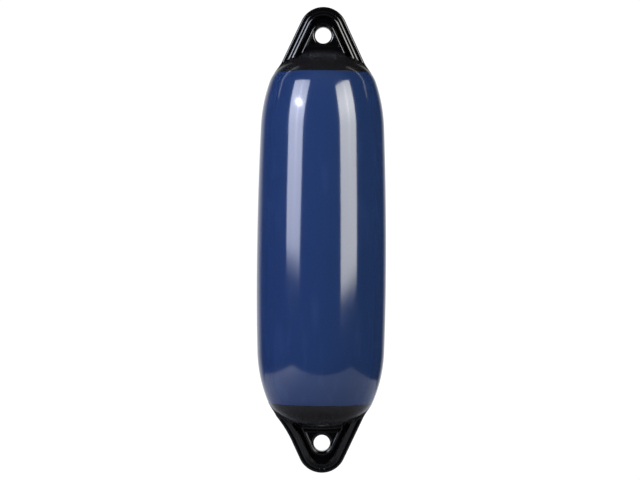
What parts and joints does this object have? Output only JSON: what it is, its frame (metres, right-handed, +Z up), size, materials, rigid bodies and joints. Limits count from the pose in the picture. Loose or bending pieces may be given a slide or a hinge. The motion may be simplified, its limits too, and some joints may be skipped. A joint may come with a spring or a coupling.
{
  "type": "pneumatic fender",
  "caption": "Air-filled soft vinyl boat fender, navy body between black moulded ends, each with a rope eye, and a screw-plug air valve behind the upper eye.",
  "frame": {"origin": "middle of the fender's box, on its long axis", "axes": "+Z up along the fender to the upper eye, flat faces of the eyes towards -Y and +Y, valve on +Y"},
  "size_m": [0.15, 0.15, 0.54],
  "materials": {
    "navy_vinyl": "glossy soft vinyl",
    "black_vinyl": "satin to glossy soft vinyl",
    "valve_plastic": "moulded nylon",
    "seal_rubber": "dull rubber"
  },
  "bodies": {
    "fender": {"body_shell": "navy_vinyl", "top_rope_eye": "black_vinyl", "bottom_rope_eye": "black_vinyl", "valve_seat": "valve_plastic", "valve_flap": "seal_rubber"},
    "sealing_washer": {"valve_washer": "seal_rubber"},
    "plug": {"valve_screw": "valve_plastic"}
  },
  "joints": [
    {"name": "plug_rise", "type": "slide", "parent": "fender", "child": "sealing_washer", "axis": [0, 0.3584, 0.9336], "range_m": [0, 0.012]},
    {"name": "plug_turn", "type": "hinge", "parent": "sealing_washer", "child": "plug", "pos_m": [0, 0.03825, 0.20683], "axis": [0, 0.3584, 0.9336], "range_deg": [0, 1440]}
  ]
}
